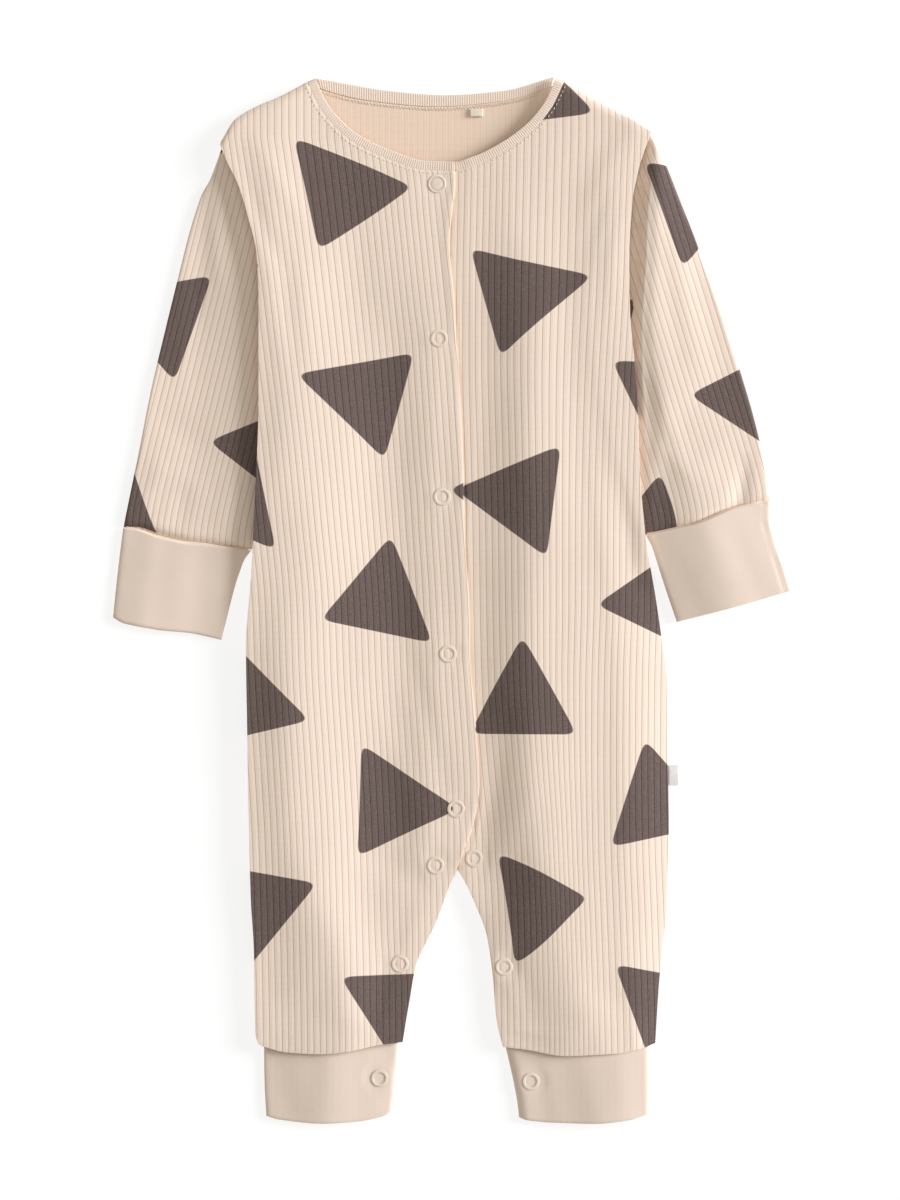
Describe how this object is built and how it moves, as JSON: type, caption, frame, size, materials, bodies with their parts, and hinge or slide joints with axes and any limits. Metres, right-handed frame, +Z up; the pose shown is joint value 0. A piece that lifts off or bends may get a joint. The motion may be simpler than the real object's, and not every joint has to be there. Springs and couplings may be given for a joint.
{
  "type": "footless baby sleepsuit",
  "caption": "Long-sleeved footless baby sleepsuit in wide-rib jersey, laid flat on its back, with a popper front and plain turned cuffs.",
  "frame": {"origin": "middle of the garment's outline, on the surface that it lies on", "axes": "+X to the wearer's left, +Y to the neck, +Z up off the surface"},
  "size_m": [0.36, 0.5556, 0.0077],
  "materials": {
    "rib_jersey": "matte wide-rib cotton jersey with a printed scatter of dark rounded triangles",
    "plain_jersey": "matte plain cotton jersey",
    "fine_rib": "matte fine-rib cotton binding",
    "popper_resin": "semi-gloss moulded resin",
    "label_tape": "smooth woven tape, bare"
  },
  "bodies": {
    "root": {"back_panel": "rib_jersey", "front_right": "rib_jersey", "front_left": "rib_jersey", "sleeve_right": "rib_jersey", "sleeve_left": "rib_jersey", "wrist_cuff_right": "plain_jersey", "wrist_cuff_left": "plain_jersey", "ankle_cuff_right": "plain_jersey", "ankle_cuff_left": "plain_jersey", "neck_binding_right": "fine_rib", "neck_binding_left": "fine_rib", "neck_binding_back": "fine_rib", "popper_neck": "popper_resin", "popper_front_1": "popper_resin", "popper_front_2": "popper_resin", "popper_front_3": "popper_resin", "popper_front_4": "popper_resin", "popper_crotch_right": "popper_resin", "popper_crotch_left": "popper_resin", "popper_leg_right": "popper_resin", "popper_leg_left": "popper_resin", "popper_ankle_right": "popper_resin", "popper_ankle_left": "popper_resin", "side_label": "label_tape", "size_tab": "label_tape"}
  },
  "joints": []
}
